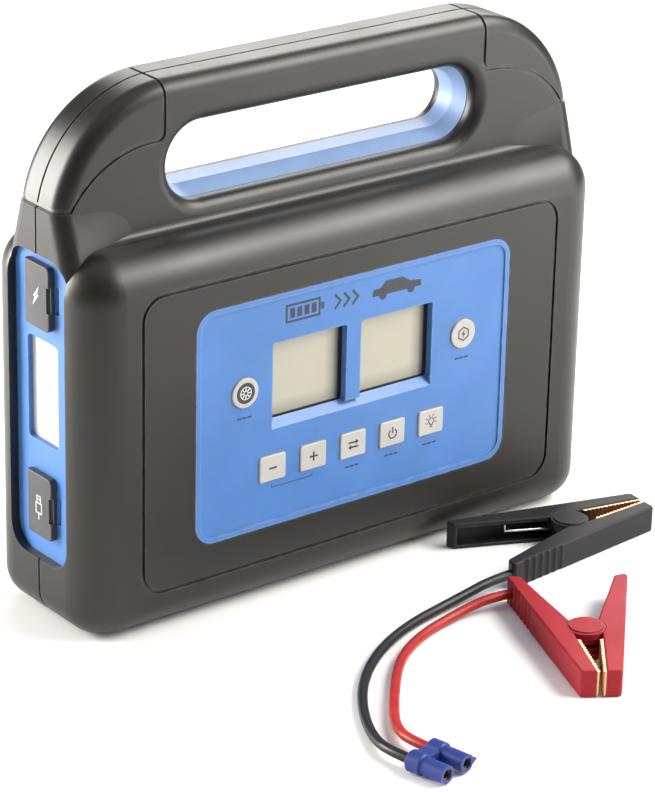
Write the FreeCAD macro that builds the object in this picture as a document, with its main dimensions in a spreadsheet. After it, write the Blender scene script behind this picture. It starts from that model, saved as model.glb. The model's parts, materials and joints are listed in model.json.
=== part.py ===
import FreeCAD, Part
import math
import os

import Sketcher

# Jump starter pack with a tyre inflator, a side lamp and a separate set of battery clamps.
# Origin: middle of the resting face. +Z up, front towards -Y, ports on the -X side.

V = FreeCAD.Vector
doc = FreeCAD.newDocument("jump_starter_pack")

# ---------------------------------------------------------------- driving dimensions
DIMENSIONS = {
    # case
    "case_width": 270.0, "case_depth": 75.6, "body_height": 165.5, "total_height": 228.0,
    "wall": 2.6, "side_edge": 18.4, "base_edge": 14.0, "shoulder_edge": 18.0,
    "grip_width": 268.8, "grip_depth": 31.0, "arch_radius": 55.5, "grip_edge": 7.0,
    "crease_radius": 3.2, "groove_depth": 0.8, "parting_width": 1.1, "foot_proud": 0.6,
    "flare_top": 181.5, "flare_bottom": 145.0, "flare_depth": 31.6, "flare_reach": 46.0,
    "flare_knee": 24.0,
    # hand hole and its liner
    "hole_half": 80.0, "hole_bottom": 174.8, "hole_top": 208.0, "rim_radius": 5.8,
    "liner_half_depth": 8.5, "liner_wall": 1.8, "liner_taper": 4.6,
    # corner caps
    "cap_seam": 83.0, "cap_arc_middle": 87.5, "cap_arc_height": 156.5, "cap_arc_radius": 48.0,
    "cap_side_height": 182.5, "seam_half": 0.75,
    # front: inset outline and control panel
    "inset_half": 109.6, "inset_bottom": 17.7, "inset_top": 149.2, "inset_corner": 11.0,
    "inset_groove": 1.5, "panel_half": 82.8, "panel_bottom": 33.4, "panel_top": 136.6,
    "panel_corner": 9.5, "panel_front": 37.7, "panel_face": 37.0, "panel_back": 33.6,
    "panel_rim": 2.4, "fit_gap": 0.2,
    # display windows
    "window_width": 38.6, "window_left": -24.4, "window_right": 21.7, "window_bottom": 80.4,
    "window_top": 115.0, "window_sill": 76.8, "display_front": 32.9, "board_front": 29.6,
    # keys
    "key_width": 13.4, "key_height": 11.5, "key_row": 59.8, "key_pitch": 21.25, "key_middle": -0.9,
    "key_front": 37.9, "round_key": 6.6, "round_key_row": 96.8, "round_key_x": 58.0,
    # side recesses and panels
    "recess_half": 20.5, "recess_bottom": 28.5, "recess_top": 162.0, "recess_corner": 10.5,
    "recess_depth": 4.1, "side_plate": 2.4, "side_flange": 2.0,
    # port covers
    "cover_height": 27.6, "cover_front": 8.0, "cover_rear": 9.8, "cover_thick": 3.2,
    "jump_port_z": 144.0, "usb_port_z": 52.0, "port_y": 0.0,
    # lamp
    "lamp_half": 11.0, "lamp_middle": 1.4, "lamp_bottom": 78.8, "lamp_top": 124.0,
    # inflator
    "pump_x": 106.0, "motor_z": 36.0, "gear_z": 61.0, "motor_radius": 15.0, "crank_radius": 8.0,
    "gear_module": 1.0, "pinion_teeth": 10, "gear_teeth": 40, "plate_front": 7.0,
    "cylinder_radius": 11.5, "bore_radius": 9.0, "rod_y": 18.5,
    # leads
    "cable_radius": 2.1, "clamp_thick": 12.0, "handle_reach": 49.0, "jaw_reach": 40.0,
    "handle_spread": 26.0, "handle_end": 6.0, "jaw_spread": 8.5, "pivot_radius": 8.2, "pin_radius": 2.2,
    "black_clamp_x": 95.5, "black_clamp_y": -70.5, "black_clamp_turn": -5.0,
    "red_clamp_x": 31.0, "red_clamp_y": -153.0, "red_clamp_turn": -122.5,
    "plug_x": -82.3, "plug_y": -193.8, "plug_turn": -78.0, "plug_pitch": 12.0, "plug_height": 4.6,
    "barrel_radius": 3.7, "contact_radius": 2.5,
}

sheet = doc.addObject("Spreadsheet::Sheet", "Dimensions")
for row, (alias, number) in enumerate(DIMENSIONS.items(), start=1):
    sheet.set(f"A{row}", alias.replace("_", " "))
    sheet.set(f"B{row}", str(number))
    sheet.setAlias(f"B{row}", alias)
doc.recompute()


class Size:
    """A length worked out from the sheet: its value, and the expression that keeps it bound."""

    def __init__(self, value, text):
        self.value = float(value)
        self.text = text

    def __add__(self, other):
        other = as_size(other)
        return Size(self.value + other.value, f"({self.text} + {other.text})")

    def __sub__(self, other):
        other = as_size(other)
        return Size(self.value - other.value, f"({self.text} - {other.text})")

    def __mul__(self, other):
        other = as_size(other)
        return Size(self.value * other.value, f"({self.text} * {other.text})")

    def __truediv__(self, other):
        other = as_size(other)
        return Size(self.value / other.value, f"({self.text} / {other.text})")

    def __neg__(self):
        return Size(-self.value, f"(0 - {self.text})")

    def __radd__(self, other):
        return as_size(other) + self

    def __rsub__(self, other):
        return as_size(other) - self

    def __rmul__(self, other):
        return as_size(other) * self

    def __float__(self):
        return self.value


def as_size(number):
    """Turns a plain number into a Size."""
    return number if isinstance(number, Size) else Size(number, f"({float(number)!r})")


class Sheet:
    """Reads an alias of the sheet as a Size, so that d.wall / 2 stays bound to the sheet."""

    def __getattr__(self, alias):
        return Size(float(sheet.get(alias)), f"Dimensions.{alias}")


d = Sheet()
case_half = d.case_width / 2
depth_half = d.case_depth / 2
grip_half = d.grip_depth / 2


def bind(thing, prop, size):
    """Sets a property from a Size and keeps it bound to the sheet."""
    thing.setExpression(prop, as_size(size).text)


# ---------------------------------------------------------------- primitives bound to the sheet
def box(name, x_span, y_span, z_span):
    """A Part::Box between two planes on each axis."""
    item = doc.addObject("Part::Box", name)
    for prop, span in (("Length", x_span), ("Width", y_span), ("Height", z_span)):
        bind(item, prop, span[1] - as_size(span[0]))
    for axis, span in (("x", x_span), ("y", y_span), ("z", z_span)):
        bind(item, f"Placement.Base.{axis}", span[0])
    return item


AXIS_TURNS = {"x": FreeCAD.Rotation(V(0, 1, 0), 90), "y": FreeCAD.Rotation(V(1, 0, 0), -90),
              "z": FreeCAD.Rotation()}


def cylinder(name, axis, radius, start, length, inner=None):
    """A Part::Cylinder that starts at a point and runs along +axis, with a bore if inner is given."""
    item = doc.addObject("Part::Cylinder", name)
    item.Placement = FreeCAD.Placement(V(), AXIS_TURNS[axis])
    bind(item, "Radius", radius)
    bind(item, "Height", length)
    for letter, place in zip("xyz", start):
        bind(item, f"Placement.Base.{letter}", place)
    if inner is None:
        return item
    return cut(name + "_ring", item, cylinder(name + "_bore", axis, inner, start, length))


def cut(name, base, *tools):
    """A Part::Cut of one or more tools out of a base."""
    for number, tool in enumerate(tools):
        item = doc.addObject("Part::Cut", f"{name}_{number}")
        item.Base, item.Tool = base, tool
        base = item
    return base


def fuse(name, *items):
    """A Part::MultiFuse; items that don't touch stay separate solids."""
    item = doc.addObject("Part::MultiFuse", name)
    item.Shapes = list(items)
    return item


def solid(name, shape):
    """A Part::Feature that holds a shape built from the sheet's values."""
    item = doc.addObject("Part::Feature", name)
    item.Shape = shape
    return item


# ---------------------------------------------------------------- bodies with sketches
PLANES = {"XZ": ("XZ_Plane", -1), "YZ": ("YZ_Plane", 1), "XY": ("XY_Plane", 1)}


def new_sketch(body, plane, height):
    """A sketch on one of the body's own origin planes, moved along the normal to a height."""
    role, sign = PLANES[plane]
    base = [item for item in body.Origin.OriginFeatures if item.Role == role][0]
    sketch = body.newObject("Sketcher::SketchObject", "Sketch")
    sketch.AttachmentSupport = [(base, "")]
    sketch.MapMode = "FlatFace"
    bind(sketch, "AttachmentOffset.Base.z", as_size(height) * sign)
    return sketch


def constrain(sketch, kind, *args, size=None):
    """Adds a constraint, bound to the sheet when a size is given."""
    if size is None:
        return sketch.addConstraint(Sketcher.Constraint(kind, *args))
    number = sketch.addConstraint(Sketcher.Constraint(kind, *args, as_size(size).value))
    sketch.setExpression(f"Constraints[{number}]", as_size(size).text)
    return number


def draw_circle(sketch, middle, radius):
    """A circle with its centre and radius bound."""
    centre = V(float(middle[0]), float(middle[1]), 0)
    edge = sketch.addGeometry(Part.Circle(centre, V(0, 0, 1), float(radius)))
    constrain(sketch, "Radius", edge, size=radius)
    constrain(sketch, "DistanceX", -1, 1, edge, 3, size=middle[0])
    constrain(sketch, "DistanceY", -1, 1, edge, 3, size=middle[1])


def draw_rectangle(sketch, u_span, v_span, corner=None):
    """A rectangle between two values on each sketch axis, its corners rounded if asked."""
    u0, u1 = (as_size(value) for value in u_span)
    v0, v1 = (as_size(value) for value in v_span)
    r = float(corner) if corner is not None else 0.0
    left, right, low, high = float(u0), float(u1), float(v0), float(v1)
    runs = [(V(left + r, low, 0), V(right - r, low, 0)), (V(right, low + r, 0), V(right, high - r, 0)),
            (V(right - r, high, 0), V(left + r, high, 0)), (V(left, high - r, 0), V(left, low + r, 0))]
    lines = [sketch.addGeometry(Part.LineSegment(start, end)) for start, end in runs]
    for number, line in enumerate(lines):
        constrain(sketch, "Horizontal" if number % 2 == 0 else "Vertical", line)
    if r:
        middles = [(right - r, low + r), (right - r, high - r), (left + r, high - r), (left + r, low + r)]
        arcs = []
        for number, (cx, cy) in enumerate(middles):
            circle = Part.Circle(V(cx, cy, 0), V(0, 0, 1), r)
            start = math.radians(-90 + 90 * number)
            arcs.append(sketch.addGeometry(Part.ArcOfCircle(circle, start, start + math.pi / 2)))
        for number, arc in enumerate(arcs):
            constrain(sketch, "Tangent", lines[number], 2, arc, 1)
            constrain(sketch, "Tangent", arc, 2, lines[(number + 1) % 4], 1)
        for arc in arcs[1:]:
            constrain(sketch, "Equal", arcs[0], arc)
        constrain(sketch, "Radius", arcs[0], size=corner)
    else:
        for number, line in enumerate(lines):
            constrain(sketch, "Coincident", line, 2, lines[(number + 1) % 4], 1)
    constrain(sketch, "DistanceY", -1, 1, lines[0], 1, size=v0)
    constrain(sketch, "DistanceX", -1, 1, lines[1], 1, size=u1)
    constrain(sketch, "DistanceY", -1, 1, lines[2], 1, size=v1)
    constrain(sketch, "DistanceX", -1, 1, lines[3], 1, size=u0)


def draw_polygon(sketch, points):
    """A closed outline whose corners are bound to the sheet."""
    spots = [V(float(u), float(v), 0) for u, v in points]
    lines = [sketch.addGeometry(Part.LineSegment(spot, spots[(number + 1) % len(spots)]))
             for number, spot in enumerate(spots)]
    for number, line in enumerate(lines):
        constrain(sketch, "Coincident", line, 2, lines[(number + 1) % len(lines)], 1)
        constrain(sketch, "DistanceX", -1, 1, line, 1, size=points[number][0])
        constrain(sketch, "DistanceY", -1, 1, line, 1, size=points[number][1])


def draw(sketch, outline):
    """Draws an outline given as (kind, sizes...)."""
    kind, *sizes = outline
    {"circle": draw_circle, "rectangle": draw_rectangle, "polygon": draw_polygon}[kind](sketch, *sizes)


def new_body(name):
    """An empty PartDesign body."""
    return doc.addObject("PartDesign::Body", name)


def pad(body, plane, outlines, start, end):
    """Pads outlines from one height to a higher one along the plane's axis."""
    sketch = new_sketch(body, plane, end if plane == "XZ" else start)
    for outline in outlines:
        draw(sketch, outline)
    feature = body.newObject("PartDesign::Pad", "Pad")
    feature.Profile = sketch
    bind(feature, "Length", end - as_size(start))
    return feature


def pocket(body, plane, outlines, start, end):
    """Cuts outlines out of the body between two heights."""
    sketch = new_sketch(body, plane, start if plane == "XZ" else end)
    for outline in outlines:
        draw(sketch, outline)
    feature = body.newObject("PartDesign::Pocket", "Pocket")
    feature.Profile = sketch
    bind(feature, "Length", end - as_size(start))
    return feature


# ---------------------------------------------------------------- shapes of the case
def edges_at(shape, test):
    """The edges whose bounding box passes a test."""
    return [edge for edge in shape.Edges if test(edge.BoundBox)]


def plain_envelope(inset):
    """The outer form of the case without its side flares, or that form moved inwards by an inset."""
    half, deep = float(case_half) - inset, float(depth_half) - inset
    top, low = float(d.body_height) - inset, float(d.foot_proud) + inset
    body = Part.makeBox(2 * half, 2 * deep, top - low, V(-half, -deep, low))
    body = body.makeFillet(float(d.side_edge) - inset, edges_at(body, lambda b: b.ZLength > top - low - 1))
    body = body.makeFillet(float(d.base_edge) - inset, edges_at(body, lambda b: b.ZMax < low + 0.01))
    body = body.makeFillet(float(d.shoulder_edge) - inset, edges_at(body, lambda b: b.ZMin > top - 0.01))
    whole = body.fuse(grip_slab(inset)).removeSplitter()
    if not inset:
        face = float(grip_half)
        creases = edges_at(whole, lambda b: abs(abs(b.YMin) - face) < 0.02 and b.YLength < 0.02
                           and b.ZMax < top + 0.1 and b.XLength > 100)
        whole = whole.makeFillet(float(d.crease_radius), creases)
    return whole


def with_flares(shape, inset):
    """Adds the side flares to a case form."""
    return shape.fuse([side_flare(side, inset) for side in (-1, 1)]).removeSplitter()


def case_envelope(inset):
    """The whole outer form of the case, or the same form moved inwards by an inset."""
    return with_flares(plain_envelope(inset), inset)


def side_flare(side, inset):
    """The web that widens the slab's side down to the body and dies away, hollow, along the shoulder."""
    wide, slim = float(d.flare_depth) - 1.08 * inset, float(grip_half) - 0.1 - inset
    outer = float(d.grip_width) / 2 - inset
    knee, start = outer - float(d.flare_knee), outer - float(d.flare_reach)
    sections = []
    for z, depth in ((float(d.flare_top) - inset, slim), (float(d.flare_bottom), wide)):
        fronts = []
        for face in (-1, 1):
            curve = Part.BezierCurve()
            curve.setPoles([V(side * start, face * (slim - 0.2), z), V(side * knee, face * (slim - 0.2), z),
                            V(side * outer, face * depth, z)])
            fronts.append(curve.toShape())
        ends = [Part.makeLine(V(side * x, -y, z), V(side * x, y, z)) for x, y in ((start, slim - 0.2), (outer, depth))]
        sections.append(Part.Wire(Part.sortEdges([*fronts, *ends])[0]))
    web = Part.makeLoft(sections, True, True)
    slants = edges_at(web, lambda b: b.XLength < 0.01 and b.XMax * side > outer - 0.01 and b.ZLength > 5)
    return web.makeFillet(float(d.grip_edge) - 0.9 * inset, slants)


def grip_slab(inset):
    """The thin upper slab with its arched corners, which carries the handle."""
    half, deep = float(d.grip_width) / 2 - inset, float(grip_half) - inset
    r, top, low = float(d.arch_radius) - inset, float(d.total_height) - inset, 40.0
    shift = r * (1 - math.sqrt(0.5))
    spring = top - r
    corner = [(V(side * half, -deep, spring), V(side * (half - shift), -deep, top - shift),
               V(side * (half - r), -deep, top)) for side in (-1, 1)]
    left, right = corner
    foot_left, foot_right = V(-half, -deep, low), V(half, -deep, low)
    edges = [Part.LineSegment(foot_left, left[0]), Part.Arc(*left), Part.LineSegment(left[2], right[2]),
             Part.Arc(*reversed(right)), Part.LineSegment(right[0], foot_right),
             Part.LineSegment(foot_right, foot_left)]
    slab = Part.Face(Part.Wire([edge.toShape() for edge in edges])).extrude(V(0, 2 * deep, 0))
    rim = edges_at(slab, lambda b: b.YLength < 1e-6 and b.ZMax > low + 1)
    return slab.makeFillet(float(d.grip_edge) - 0.9 * inset, rim)


def stadium_wire(y, grow, squeeze=0.0):
    """The hand hole's outline at a depth, grown outwards and squeezed in height."""
    low = float(d.hole_bottom) - grow + squeeze
    high = float(d.hole_top) + grow - squeeze
    r = (high - low) / 2
    end, middle = float(d.hole_half) + grow - squeeze / 3 - r, (high + low) / 2
    edges = [Part.LineSegment(V(-end, y, low), V(end, y, low)),
             Part.Arc(V(end, y, low), V(end + r, y, middle), V(end, y, high)),
             Part.LineSegment(V(end, y, high), V(-end, y, high)),
             Part.Arc(V(-end, y, high), V(-end - r, y, middle), V(-end, y, low))]
    return Part.Wire([edge.toShape() for edge in edges])


def stadium(y0, y1, grow=0.0, squeeze=0.0):
    """A straight plug with the hand hole's outline."""
    return Part.Face(stadium_wire(y0, grow, squeeze)).extrude(V(0, y1 - y0, 0))


def rounded_plug(axis, u_span, v_span, start, end, corner):
    """A rounded rectangular plug along x or y, used to cut recesses and grooves."""
    (u0, u1), (v0, v1) = [[float(value) for value in span] for span in (u_span, v_span)]
    if axis == "y":
        plug = Part.makeBox(u1 - u0, end - start, v1 - v0, V(u0, start, v0))
        return plug.makeFillet(corner, edges_at(plug, lambda b: b.YLength > end - start - 0.01))
    plug = Part.makeBox(end - start, u1 - u0, v1 - v0, V(start, u0, v0))
    return plug.makeFillet(corner, edges_at(plug, lambda b: b.XLength > end - start - 0.01))


def cap_region(side, grow):
    """The region taken up by one corner's caps: outside the seam, grown by an amount."""
    x_seam = float(d.cap_seam) - grow
    cx, cz = float(d.cap_arc_middle), float(d.cap_arc_height)
    r, foot = float(d.cap_arc_radius) - grow, float(d.cap_side_height) - grow
    outer, high, deep = 150.0, 240.0, 60.0

    def arc_height(x):
        return cz + math.sqrt(r * r - (x - cx) ** 2)

    x_foot = cx + math.sqrt(r * r - (foot - cz) ** 2)
    x_mid = (x_seam + x_foot) / 2
    spots = [(x_seam, high), (x_seam, arc_height(x_seam)), (x_mid, arc_height(x_mid)), (x_foot, foot),
             (outer, foot), (outer, high)]
    p = [V(side * x, -deep, z) for x, z in spots]
    edges = [Part.LineSegment(p[0], p[1]), Part.Arc(p[1], p[2], p[3]), Part.LineSegment(p[3], p[4]),
             Part.LineSegment(p[4], p[5]), Part.LineSegment(p[5], p[0])]
    region = Part.Face(Part.Wire([edge.toShape() for edge in edges])).extrude(V(0, 2 * deep, 0))
    inner = edges_at(region, lambda b: abs(b.XMin - side * x_seam) < 0.01 and b.XLength < 0.01
                     and b.ZLength < 0.01 and b.ZMax < high - 1)
    return region.makeFillet(3.5, inner)


POST_PLACES = [(-112, 17), (112, 14), (-60, 156.5), (60, 156.5), (-106, 176), (106, 176)]
POST_RADIUS, SCREW_RADIUS, SCREW_HEAD = 3.6, 1.4, 2.7


def screw_posts(start, end, radius):
    """Round posts between the two shells, or the holes down them."""
    rods = [Part.makeCylinder(radius, end - start, V(x, start, z), V(0, 1, 0)) for x, z in POST_PLACES]
    return rods[0].multiFuse(rods[1:])


def side_recess(side, start, end, grow=0.0):
    """The rounded recess in one side of the case, between two distances from the middle plane."""
    half = float(d.recess_half) + grow
    low, high = float(d.recess_bottom) - grow, float(d.recess_top) + grow
    x0, x1 = sorted((side * start, side * end))
    return rounded_plug("x", (-half, half), (low, high), x0, x1, float(d.recess_corner) + grow)


envelope = case_envelope(0)
skin_core = case_envelope(float(d.groove_depth))
skin = envelope.cut(skin_core)
half_out, deep_out = 150.0, 60.0
FACE = float(depth_half)
SIDE = float(case_half)
GRIP = float(grip_half)


def case_body():
    """The whole outer form with the hand hole, its rounded rims and all outer grooves."""
    taper = float(d.liner_taper)
    seat = float(d.liner_half_depth)
    body = plain_envelope(0).cut(stadium(-deep_out, 0))
    body = body.cut(stadium(0, deep_out, 0, taper))
    rim = edges_at(body, lambda b: b.YLength < 0.01 and abs(abs(b.YMin) - GRIP) < 0.01
                   and b.ZMin > float(d.hole_bottom) - 0.1 and b.ZMax < float(d.hole_top) + 0.1)
    body = with_flares(body.makeFillet(float(d.rim_radius), rim), 0)
    body = body.cut(stadium(-seat, seat, float(d.liner_wall)))
    parting = Part.makeBox(2 * half_out, float(d.parting_width), 300,
                           V(-half_out, -float(d.parting_width) / 2, -10))
    return body.cut(skin.common(parting))


def case_cavity():
    """The space inside the case, less the collars round the hand hole and the side recesses."""
    cavity = case_envelope(float(d.wall))
    cavity = cavity.cut(stadium(-deep_out, deep_out, float(d.rim_radius) + 1.2))
    depth = SIDE - float(d.recess_depth)
    for side in (-1, 1):
        cavity = cavity.cut(side_recess(side, depth, half_out, 3.6))
    return cavity


def seam_grooves(side):
    """The shallow channel that marks a cap's seam."""
    half = float(d.seam_half)
    return skin.common(cap_region(side, half).cut(cap_region(side, -half)))


def inset_groove():
    """The channel that outlines the inset on the front."""
    half, width = float(d.inset_half), float(d.inset_groove)
    low, high, corner = float(d.inset_bottom), float(d.inset_top), float(d.inset_corner)
    start, end = -FACE - 1, -FACE + 1.1
    outer = rounded_plug("y", (-half, half), (low, high), start, end, corner)
    inner = rounded_plug("y", (width - half, half - width), (low + width, high - width), start, end,
                         corner - width)
    return outer.cut(inner)


def build_case():
    """Front and rear shells and the four corner caps."""
    body, cavity = case_body(), case_cavity()
    halves = {"front": Part.makeBox(2 * half_out, deep_out, 300, V(-half_out, -deep_out, -10)),
              "rear": Part.makeBox(2 * half_out, deep_out, 300, V(-half_out, 0, -10))}
    regions = {"left": cap_region(-1, 0), "right": cap_region(1, 0)}
    wall = body.cut(cavity)
    for side in (-1, 1):
        wall = wall.cut(seam_grooves(side))
    for end, half in halves.items():
        part = wall.common(half)
        for name, region in regions.items():
            solid(f"corner_cap_{end}_{name}", part.common(region))
            part = part.cut(region)
        if end == "front":
            part = finish_front(part)
        else:
            part = finish_rear(part)
        solid(f"{end}_shell", part)


def shell_posts(start, end, floor):
    """Posts inside one shell, trimmed to the case."""
    return screw_posts(start, end, POST_RADIUS).common(case_envelope(floor))


def finish_front(part):
    """Adds the posts to the front shell and opens it for the control panel and the side panels."""
    part = part.fuse(shell_posts(-FACE, -0.02, float(d.wall) / 2))
    part = part.cut(screw_posts(-12, 5, SCREW_RADIUS))
    gap = float(d.fit_gap)
    half, low, high = float(d.panel_half) + gap, float(d.panel_bottom) - gap, float(d.panel_top) + gap
    opening = rounded_plug("y", (-half, half), (low, high), -FACE - 5, -FACE + 6, float(d.panel_corner) + gap)
    part = part.cut(opening).cut(inset_groove())
    return open_sides(part)


def finish_rear(part):
    """Adds the posts to the rear shell, with screw holes and counterbores, and opens its sides."""
    part = part.fuse(shell_posts(0.02, FACE, float(d.wall) / 2))
    part = part.cut(screw_posts(-5, FACE + 5, SCREW_RADIUS + 0.15))
    for x, z in POST_PLACES:
        sink = GRIP - 3 if z > float(d.body_height) else FACE - 4
        part = part.cut(Part.makeCylinder(SCREW_HEAD + 0.3, 40, V(x, sink, z), V(0, 1, 0)))
    return open_sides(part)


def open_sides(part):
    """Cuts the side recesses and the feet's seats."""
    for side in (-1, 1):
        part = part.cut(side_recess(side, 100, half_out))
    return part.cut(feet_shape(0.0))


FOOT_RADIUS, FOOT_SEAT = 6.5, 1.2
FOOT_PLACES = [(-95, -14), (95, -14), (-95, 14), (95, 14)]


def feet_shape(gap):
    """Four round pads let into the base, which they lift clear of the ground."""
    pads = [Part.makeCylinder(FOOT_RADIUS + gap, FOOT_SEAT + 1, V(x, y, -1)) for x, y in FOOT_PLACES]
    return pads[0].multiFuse(pads[1:])


def build_liner():
    """The sleeve that lines the hand hole, drafted towards the rear from a ridge at the middle."""
    seat, taper = float(d.liner_half_depth), float(d.liner_taper)
    outer = stadium(-seat, seat, float(d.liner_wall) - 0.02)
    front = Part.makeLoft([stadium_wire(-seat, 0.4), stadium_wire(0, 0, taper - 0.9)], True, True)
    rear = Part.makeLoft([stadium_wire(0, 0, taper - 0.9), stadium_wire(seat, 0, taper)], True, True)
    lip = stadium(-seat - 1, -seat + 0.8, 0.8)
    solid("handle_liner", outer.cut(front).cut(rear).cut(lip))


# ---------------------------------------------------------------- control panel
def build_control_panel():
    """The front panel with its rim, display windows, sloping sills and key openings."""
    body = new_body("control_panel")
    span, rise = (-d.panel_half, d.panel_half), (d.panel_bottom, d.panel_top)
    pad(body, "XZ", [("rectangle", span, rise, d.panel_corner)], -d.panel_front, -d.panel_back)
    flange = 2.4
    pad(body, "XZ", [("rectangle", (span[0] - flange, span[1] + flange), (rise[0] - flange, rise[1] + flange),
                      d.panel_corner + flange)], -(depth_half - d.wall) + 0.02, -d.panel_back)
    rim = d.panel_rim
    pocket(body, "XZ", [("rectangle", (span[0] + rim, span[1] - rim), (rise[0] + rim, rise[1] - rim),
                         d.panel_corner - rim)], -d.panel_front, -d.panel_face)
    half = d.window_width / 2
    for middle in (d.window_left, d.window_right):
        span = (middle - half, middle + half)
        pocket(body, "XZ", [("rectangle", span, (d.window_bottom, d.window_top), 1.2)],
               -d.panel_front, -d.panel_back)
    sill = [(-d.panel_face - 0.4, d.window_sill - 0.4), (-d.panel_back - 0.3, d.window_bottom),
            (-d.panel_back - 0.3, d.window_bottom + 0.1), (-d.panel_face - 0.4, d.window_bottom + 0.1)]
    pocket(body, "YZ", [("polygon", sill)], d.window_left - half, d.window_right + half)
    square = [("rectangle", (x - d.key_width / 2 - d.fit_gap, x + d.key_width / 2 + d.fit_gap),
               (d.key_row - d.key_height / 2 - d.fit_gap, d.key_row + d.key_height / 2 + d.fit_gap), 1.0)
              for x in key_columns()]
    rounds = [("circle", (side * d.round_key_x, d.round_key_row), d.round_key + d.fit_gap) for side in (-1, 1)]
    pocket(body, "XZ", square + rounds, -d.panel_front, -d.panel_back)


def key_columns():
    """The x of each square key, from left to right."""
    return [d.key_middle + d.key_pitch * step for step in (-2, -1, 0, 1, 2)]


SQUARE_KEYS = ["key_minus", "key_plus", "key_mode", "key_power", "key_light"]
ROUND_KEYS = ["key_inflator", "key_engine_start"]
KEY_FLANGE_FRONT, KEY_FLANGE_BACK, KEY_STEM_END = 33.4, 32.5, 31.7


def build_keys():
    """Seven keys, each a cap with a flange behind the panel and a stem towards its switch."""
    half_w, half_h = d.key_width / 2, d.key_height / 2
    for name, x in zip(SQUARE_KEYS, key_columns()):
        body = new_body(name)
        cap = ("rectangle", (x - half_w, x + half_w), (d.key_row - half_h, d.key_row + half_h), 0.9)
        skirt = ("rectangle", (x - half_w - 1, x + half_w + 1), (d.key_row - half_h - 1, d.key_row + half_h + 1),
                 1.5)
        key_layers(body, cap, skirt, (x, d.key_row))
    for name, side in zip(ROUND_KEYS, (-1, 1)):
        body = new_body(name)
        middle = (side * d.round_key_x, d.round_key_row)
        key_layers(body, ("circle", middle, d.round_key), ("circle", middle, d.round_key + 1), middle)


def key_layers(body, cap, skirt, middle):
    """Cap, flange and stem of one key, with its front edge eased."""
    top = pad(body, "XZ", [cap], -d.key_front, -KEY_FLANGE_FRONT)
    doc.recompute()
    front = [f"Edge{number + 1}" for number, edge in enumerate(top.Shape.Edges)
             if edge.BoundBox.YMax < -float(d.key_front) + 0.01]
    ease = body.newObject("PartDesign::Fillet", "Ease")
    ease.Base = (top, front)
    ease.Radius = 0.5
    pad(body, "XZ", [skirt], -KEY_FLANGE_FRONT, -KEY_FLANGE_BACK)
    pad(body, "XZ", [("circle", middle, 1.5)], -KEY_FLANGE_BACK, -KEY_STEM_END)


def build_displays():
    """Two display modules between the panel's windows and the control board."""
    half = d.window_width / 2
    for name, x in (("pressure_display", d.window_left), ("charge_display", d.window_right)):
        body = new_body(name)
        pad(body, "XZ", [("rectangle", (x - half - 1, x + half + 1), (d.window_bottom - 2, d.window_top + 2))],
            -d.display_front, -d.board_front)


def build_control_board():
    """The circuit board behind the panel and its seven tact switches."""
    body = new_body("control_board")
    thick = 1.6
    pad(body, "XZ", [("rectangle", (-d.panel_half + 4, d.panel_half - 4), (d.panel_bottom + 3, d.panel_top - 3),
                      2.0)], -d.board_front, -d.board_front + thick)
    places = [(x, d.key_row) for x in key_columns()]
    places += [(side * d.round_key_x, d.round_key_row) for side in (-1, 1)]
    switches = []
    for number, (x, z) in enumerate(places):
        case = box(f"switch_case_{number}", (x - 2.6, x + 2.6), (-d.board_front - 1.0, -d.board_front),
                   (z - 2.6, z + 2.6))
        plunger = cylinder(f"switch_plunger_{number}", "y", 1.2, (x, -d.board_front - 1.35, z), 0.6)
        switches.append(fuse(f"switch_{number}", case, plunger))
    fuse("key_switches", *switches)


# ---------------------------------------------------------------- side panels, covers, lamp
def panel_span():
    """Where the side panels lie, as distances from the middle plane: inner and outer face."""
    outer = case_half - d.recess_depth
    return outer - d.side_plate, outer - 0.02


def build_side_panel():
    """The port panel on the left: openings for two covers and the lamp, and a thumb notch for each."""
    inner, outer = (float(value) for value in panel_span())
    plate = side_recess(-1, inner, outer, float(d.side_flange))
    plate = plate.common(case_envelope(float(d.wall) + 0.02))
    port_y = float(d.port_y)
    for z in (float(d.jump_port_z), float(d.usb_port_z)):
        plate = plate.cut(rounded_plug("x", (port_y - 5.6, port_y + 4.9), (z - 10.8, z + 10.8), -outer - 1,
                                       -inner + 1, 1.5))
        front = -float(d.cover_front)
        plate = plate.cut(Part.makeBox(1.2, 3.0, 12.0, V(-outer - 0.2, front - 3.0, z - 6.0)))
    window = rounded_plug("x", (d.lamp_middle - d.lamp_half, d.lamp_middle + d.lamp_half),
                          (d.lamp_bottom, d.lamp_top), -outer - 1, -inner + 1, 2.4)
    solid("side_panel", plate.cut(window))


def build_covers():
    """Two rubber port covers, each with a thumb notch, a boss that plugs its port and a rounded hinge edge."""
    outer = float(case_half - d.recess_depth)
    thick, port_y = float(d.cover_thick), float(d.port_y)
    half, front, rear = float(d.cover_height) / 2, float(d.cover_front), float(d.cover_rear)
    for name, z in (("jump_port_cover", float(d.jump_port_z)), ("usb_port_cover", float(d.usb_port_z))):
        lid = Part.makeBox(thick, front + rear, 2 * half, V(-outer - thick, -front, z - half))
        lid = lid.makeFillet(2.2, edges_at(lid, lambda b: b.XLength > thick - 0.01 and b.YMax < 0))
        hinge = edges_at(lid, lambda b: b.YMin > rear - 0.01 and b.ZLength > half)
        lid = lid.makeFillet(thick / 2 - 0.02, hinge)
        rim = edges_at(lid, lambda b: b.XMax < -outer - thick + 0.01 and b.YMax < 0 and b.ZLength > half)
        lid = lid.makeFillet(0.5, rim)
        boss = rounded_plug("x", (port_y - 4.8, port_y + 4.6), (z - 10.3, z + 10.3), -outer - 0.5,
                            -outer + 2.0, 1.2)
        notch = Part.makeBox(2.0, 2.0, 11.0, V(-outer - thick - 0.6, -front - 0.4, z - 5.5))
        solid(name, lid.cut(notch).fuse(boss).removeSplitter())


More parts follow.
